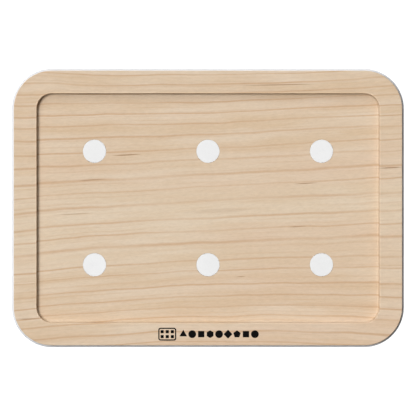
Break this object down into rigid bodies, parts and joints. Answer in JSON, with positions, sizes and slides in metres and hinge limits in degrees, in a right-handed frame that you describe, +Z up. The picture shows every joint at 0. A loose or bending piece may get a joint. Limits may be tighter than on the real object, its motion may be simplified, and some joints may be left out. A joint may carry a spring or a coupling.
{
  "type": "activity tile board",
  "caption": "Table-top activity board: wooden tray with a shallow recess for square tiles, flush magnet caps in its floor, on a white base with soft feet.",
  "frame": {"origin": "on the surface that the feet stand on, under the middle of the board", "axes": "+X along the board's length, +Y across it towards the back edge, +Z up out of the recess"},
  "size_m": [0.4148, 0.2946, 0.0193],
  "materials": {
    "wood": "pale maple, clear matt oil",
    "base_plastic": "fine satin moulding texture",
    "cap_plastic": "satin",
    "magnet_nickel": "nickel plated",
    "screw_steel": "zinc plated",
    "foot_rubber": "soft matt silicone"
  },
  "bodies": {
    "root": {"wood_tray": "wood", "base_shell": "base_plastic", "magnet_cap_1": "cap_plastic", "magnet_cap_2": "cap_plastic", "magnet_cap_3": "cap_plastic", "magnet_cap_4": "cap_plastic", "magnet_cap_5": "cap_plastic", "magnet_cap_6": "cap_plastic", "magnet_1": "magnet_nickel", "magnet_2": "magnet_nickel", "magnet_3": "magnet_nickel", "magnet_4": "magnet_nickel", "magnet_5": "magnet_nickel", "magnet_6": "magnet_nickel", "screw_1": "screw_steel", "screw_2": "screw_steel", "screw_3": "screw_steel", "screw_4": "screw_steel", "screw_5": "screw_steel", "screw_6": "screw_steel", "screw_7": "screw_steel", "screw_8": "screw_steel", "foot_back_left": "foot_rubber", "foot_back_right": "foot_rubber", "foot_front_left": "foot_rubber", "foot_front_right": "foot_rubber"}
  },
  "joints": []
}
